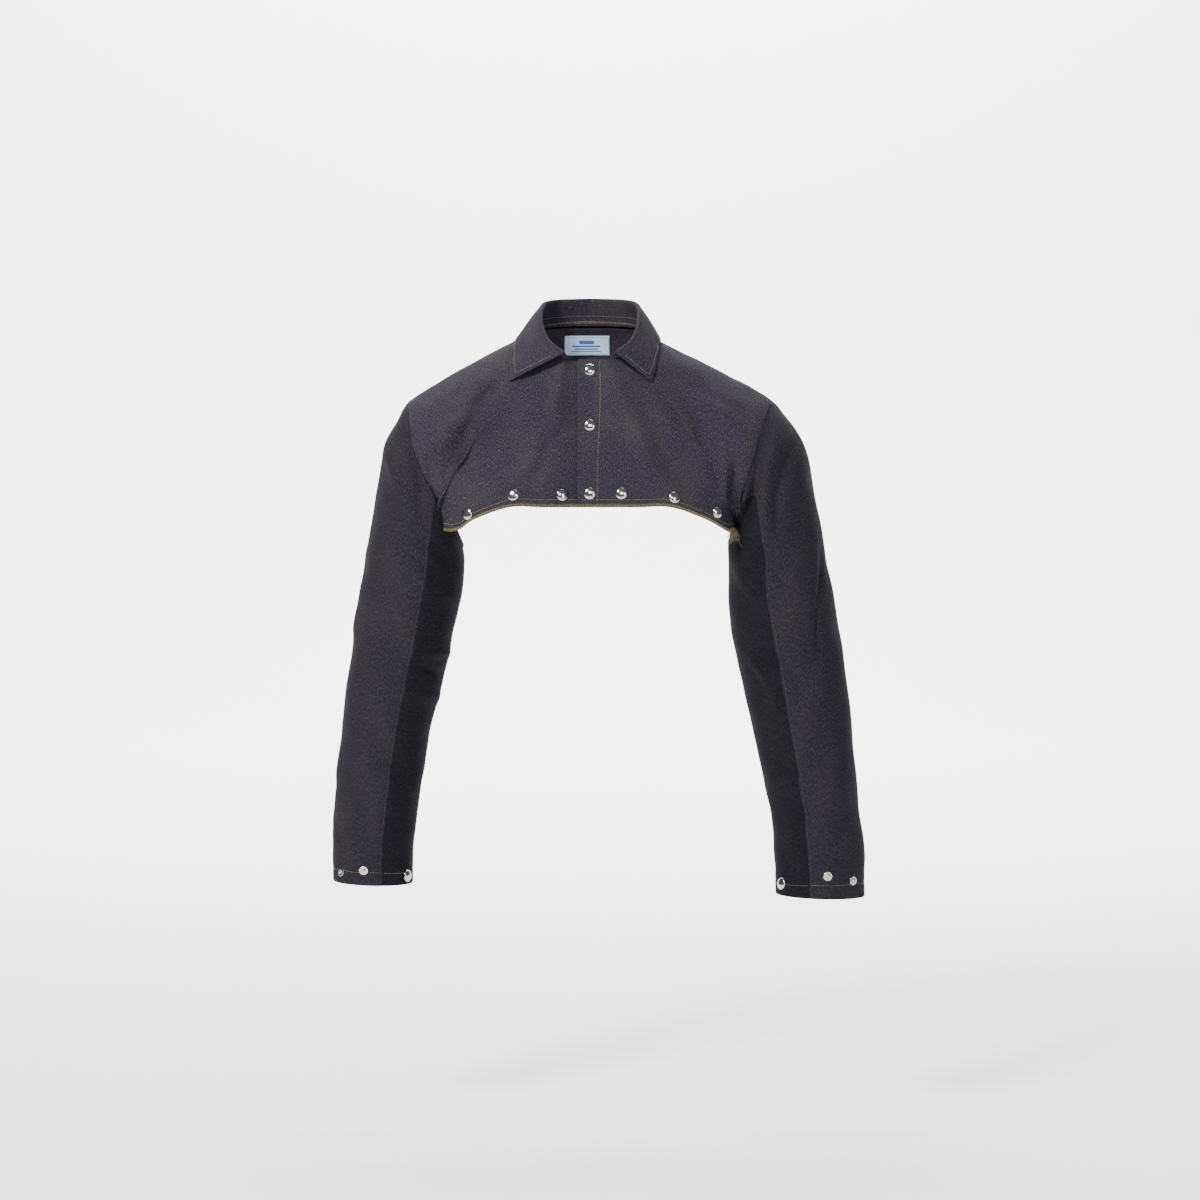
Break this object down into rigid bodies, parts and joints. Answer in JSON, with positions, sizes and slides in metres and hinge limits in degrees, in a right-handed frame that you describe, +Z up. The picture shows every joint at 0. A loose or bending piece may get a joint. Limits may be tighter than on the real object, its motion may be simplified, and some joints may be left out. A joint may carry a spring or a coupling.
{
  "type": "welding cape sleeves",
  "caption": "Cropped cape with a turned-down collar, a press-stud front and two long sleeves, for welding protection.",
  "frame": {"origin": "middle of the neck at the height of the inner ends of the shoulders, where the garment is held up", "axes": "+Z up, the wearer faces -Y, +X is the wearer's left"},
  "size_m": [0.6729, 0.2282, 0.7549],
  "materials": {
    "cloth": "matte",
    "facing": "matte",
    "edging": "matte",
    "label": "satin",
    "nickel": "polished"
  },
  "bodies": {
    "torso": {"left_front_side": "cloth", "right_front_side": "cloth", "left_back": "cloth", "right_back": "cloth", "back_collar": "cloth", "left_side_edging": "edging", "right_side_edging": "edging", "back_edging": "edging", "neck_label": "label", "left_hem_outer_cap": "nickel", "left_hem_outer_socket": "nickel", "right_hem_outer_cap": "nickel", "right_hem_outer_socket": "nickel"},
    "left_front_flap": {"left_front": "cloth", "left_collar": "cloth", "left_front_facing": "facing", "left_front_edging": "edging", "left_hem_inner_cap": "nickel", "left_hem_inner_socket": "nickel", "left_hem_middle_cap": "nickel", "left_hem_middle_socket": "nickel", "closure_top_cap": "nickel", "closure_top_socket": "nickel", "closure_middle_cap": "nickel", "closure_middle_socket": "nickel", "closure_bottom_cap": "nickel", "closure_bottom_socket": "nickel"},
    "left_sleeve": {"left_top_sleeve": "cloth", "left_under_sleeve": "cloth", "left_cuff_turning": "facing", "left_cuff_cap": "nickel", "left_cuff_socket": "nickel", "left_cuff_outer_stud": "nickel", "left_cuff_outer_eyelet": "nickel", "left_cuff_inner_stud": "nickel", "left_cuff_inner_eyelet": "nickel"},
    "right_front_flap": {"right_front": "cloth", "right_collar": "cloth", "right_front_facing": "facing", "right_front_edging": "edging", "right_hem_inner_cap": "nickel", "right_hem_inner_socket": "nickel", "right_hem_middle_cap": "nickel", "right_hem_middle_socket": "nickel", "closure_top_stud": "nickel", "closure_top_eyelet": "nickel", "closure_middle_stud": "nickel", "closure_middle_eyelet": "nickel", "closure_bottom_stud": "nickel", "closure_bottom_eyelet": "nickel"},
    "right_sleeve": {"right_top_sleeve": "cloth", "right_under_sleeve": "cloth", "right_cuff_turning": "facing", "right_cuff_cap": "nickel", "right_cuff_socket": "nickel", "right_cuff_outer_stud": "nickel", "right_cuff_outer_eyelet": "nickel", "right_cuff_inner_stud": "nickel", "right_cuff_inner_eyelet": "nickel"}
  },
  "joints": [
    {"name": "left_front_open", "type": "hinge", "parent": "torso", "child": "left_front_flap", "pos_m": [0.1329, -0.0772, -0.0843], "axis": [-0.264, 0.3549, 0.8969], "range_deg": [0, 40]},
    {"name": "right_front_open", "type": "hinge", "parent": "torso", "child": "right_front_flap", "pos_m": [-0.1329, -0.0772, -0.0843], "axis": [-0.264, -0.3549, -0.8969], "range_deg": [0, 24]},
    {"name": "left_sleeve_raise", "type": "hinge", "parent": "torso", "child": "left_sleeve", "pos_m": [0.229, 0, -0.069], "axis": [0, -1, 0], "range_deg": [0, 45]},
    {"name": "right_sleeve_raise", "type": "hinge", "parent": "torso", "child": "right_sleeve", "pos_m": [-0.231, 0, -0.069], "axis": [0, 1, 0], "range_deg": [0, 45]}
  ],
  "couplings": [
    {"joint": "right_front_open", "follows": "left_front_open", "ratio": 0.6}
  ]
}
